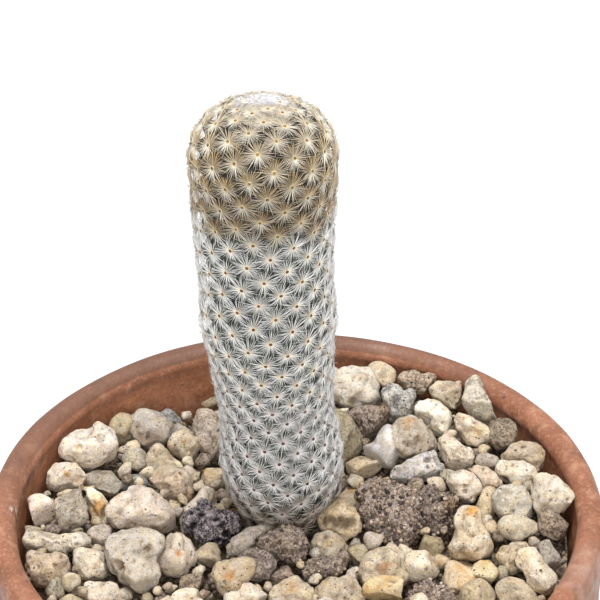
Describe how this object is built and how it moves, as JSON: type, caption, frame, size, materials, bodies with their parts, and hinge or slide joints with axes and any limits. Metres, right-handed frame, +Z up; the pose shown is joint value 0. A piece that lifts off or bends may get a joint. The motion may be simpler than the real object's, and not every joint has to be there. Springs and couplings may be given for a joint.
{
  "type": "potted golf ball cactus",
  "caption": "Columnar golf ball cactus with starry white and tan spines, standing in pumice gravel in a round terracotta bowl pot.",
  "frame": {"origin": "centre of the pot's flat underside, on the surface that it stands on", "axes": "+Z up along the pot's axis, +Y towards the back of the pot as pictured, +X to the right"},
  "size_m": [0.13, 0.13, 0.1625],
  "materials": {
    "blue_grey": "blue-grey stone",
    "brown": "brown scoria",
    "cactus": "grey-green flesh under white and tan spines",
    "crown_wool": "white felted wool",
    "gravel_bed": "fine cream, tan and brown pumice gravel",
    "grey": "grey pumice",
    "lava": "black-purple lava with open pores",
    "olive": "olive-tan porous stone",
    "orange": "cream pumice with an orange stain",
    "pot": "matte unglazed terracotta, worn rim with grime and pale lime bloom",
    "pumice": "cream pumice with fine pores and dark specks",
    "quartz": "smooth pale quartz",
    "soil": "dark gritty potting soil",
    "soil_clod": "dark crumbly clod of soil and grit",
    "tan": "tan pumice with ochre patches"
  },
  "bodies": {
    "root": {"blue_grey_stone_01": "blue_grey", "brown_stone_01": "brown", "brown_stone_02": "brown", "brown_stone_03": "brown", "brown_stone_04": "brown", "brown_stone_05": "brown", "brown_stone_06": "brown", "brown_stone_07": "brown", "cactus": "cactus", "crown_wool": "crown_wool", "gravel_bed": "gravel_bed", "grey_stone_01": "grey", "grey_stone_02": "grey", "grey_stone_03": "grey", "grey_stone_04": "grey", "lava_stone_01": "lava", "olive_stone_01": "olive", "olive_stone_02": "olive", "orange_stone_01": "orange", "orange_stone_02": "orange", "orange_stone_03": "orange", "pot": "pot", "pumice_stone_01": "pumice", "pumice_stone_02": "pumice", "pumice_stone_03": "pumice", "pumice_stone_04": "pumice", "pumice_stone_05": "pumice", "pumice_stone_06": "pumice", "pumice_stone_07": "pumice", "pumice_stone_08": "pumice", "pumice_stone_09": "pumice", "pumice_stone_10": "pumice", "pumice_stone_11": "pumice", "pumice_stone_12": "pumice", "pumice_stone_13": "pumice", "pumice_stone_14": "pumice", "pumice_stone_15": "pumice", "pumice_stone_16": "pumice", "pumice_stone_17": "pumice", "quartz_stone_01": "quartz", "soil": "soil", "soil_clod_01": "soil_clod", "soil_clod_02": "soil_clod", "tan_stone_01": "tan", "tan_stone_02": "tan", "tan_stone_03": "tan", "tan_stone_04": "tan", "tan_stone_05": "tan", "tan_stone_06": "tan", "tan_stone_07": "tan", "tan_stone_08": "tan", "tan_stone_09": "tan", "tan_stone_10": "tan", "tan_stone_11": "tan", "tan_stone_12": "tan", "tan_stone_13": "tan", "tan_stone_14": "tan", "tan_stone_15": "tan", "tan_stone_16": "tan"}
  },
  "joints": []
}
